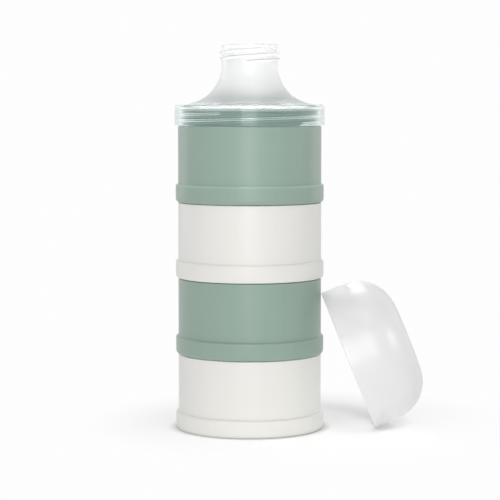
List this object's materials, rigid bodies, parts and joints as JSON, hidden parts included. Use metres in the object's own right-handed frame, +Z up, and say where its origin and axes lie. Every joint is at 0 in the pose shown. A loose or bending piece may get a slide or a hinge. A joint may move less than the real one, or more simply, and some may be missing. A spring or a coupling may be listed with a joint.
{
  "type": "formula dispenser",
  "caption": "Stack of screw-together powder cups with a flared pouring funnel on top and its dome cap leaning beside it.",
  "frame": {"origin": "on the table, at the centre of the whole footprint: the stack's axis is 26.37 mm towards -X of it and the cap leans at +X", "axes": "+Z up along the stack's axis, +X from the stack towards the leaning cap, the front faces -Y"},
  "size_m": [0.1322, 0.0794, 0.2038],
  "materials": {
    "white_pp": "satin",
    "sage_pp": "satin",
    "clear_pp": "glossy, see-through",
    "frosted_pp": "frosted",
    "silicone": "matte"
  },
  "bodies": {
    "bottom_cup": {"bottom_cup": "white_pp"},
    "lower_cup_seal": {"lower_cup_seal": "silicone"},
    "lower_cup": {"lower_cup": "sage_pp"},
    "upper_cup_seal": {"upper_cup_seal": "silicone"},
    "upper_cup": {"upper_cup": "white_pp"},
    "top_cup_seal": {"top_cup_seal": "silicone"},
    "top_cup": {"top_cup": "sage_pp"},
    "funnel_seal": {"funnel_seal": "silicone"},
    "pouring_funnel": {"pouring_funnel": "clear_pp"},
    "dome_cap": {"dome_cap": "frosted_pp"}
  },
  "joints": [
    {"name": "lower_cup_rise", "type": "slide", "parent": "bottom_cup", "child": "lower_cup_seal", "axis": [0, 0, 1], "range_m": [0, 0.008]},
    {"name": "lower_cup_unscrew", "type": "hinge", "parent": "lower_cup_seal", "child": "lower_cup", "pos_m": [-0.02637, 0, 0.0403], "axis": [0, 0, 1], "range_deg": [0, 450]},
    {"name": "upper_cup_rise", "type": "slide", "parent": "lower_cup", "child": "upper_cup_seal", "axis": [0, 0, 1], "range_m": [0, 0.008]},
    {"name": "upper_cup_unscrew", "type": "hinge", "parent": "upper_cup_seal", "child": "upper_cup", "pos_m": [-0.02637, 0, 0.0806], "axis": [0, 0, 1], "range_deg": [0, 450]},
    {"name": "top_cup_rise", "type": "slide", "parent": "upper_cup", "child": "top_cup_seal", "axis": [0, 0, 1], "range_m": [0, 0.008]},
    {"name": "top_cup_unscrew", "type": "hinge", "parent": "top_cup_seal", "child": "top_cup", "pos_m": [-0.02637, 0, 0.1209], "axis": [0, 0, 1], "range_deg": [0, 450]},
    {"name": "funnel_rise", "type": "slide", "parent": "top_cup", "child": "funnel_seal", "axis": [0, 0, 1], "range_m": [0, 0.008]},
    {"name": "funnel_unscrew", "type": "hinge", "parent": "funnel_seal", "child": "pouring_funnel", "pos_m": [-0.02637, 0, 0.1612], "axis": [0, 0, 1], "range_deg": [0, 450]},
    {"name": "cap_lift_off", "type": "slide", "parent": "bottom_cup", "child": "dome_cap", "axis": [0.9272, 0, 0.3746], "range_m": [0, 0.06]}
  ],
  "couplings": [
    {"joint": "lower_cup_rise", "follows": "lower_cup_unscrew", "m_per_rad": 0.0010186},
    {"joint": "upper_cup_rise", "follows": "upper_cup_unscrew", "m_per_rad": 0.0010186},
    {"joint": "top_cup_rise", "follows": "top_cup_unscrew", "m_per_rad": 0.0010186},
    {"joint": "funnel_rise", "follows": "funnel_unscrew", "m_per_rad": 0.0010186}
  ]
}
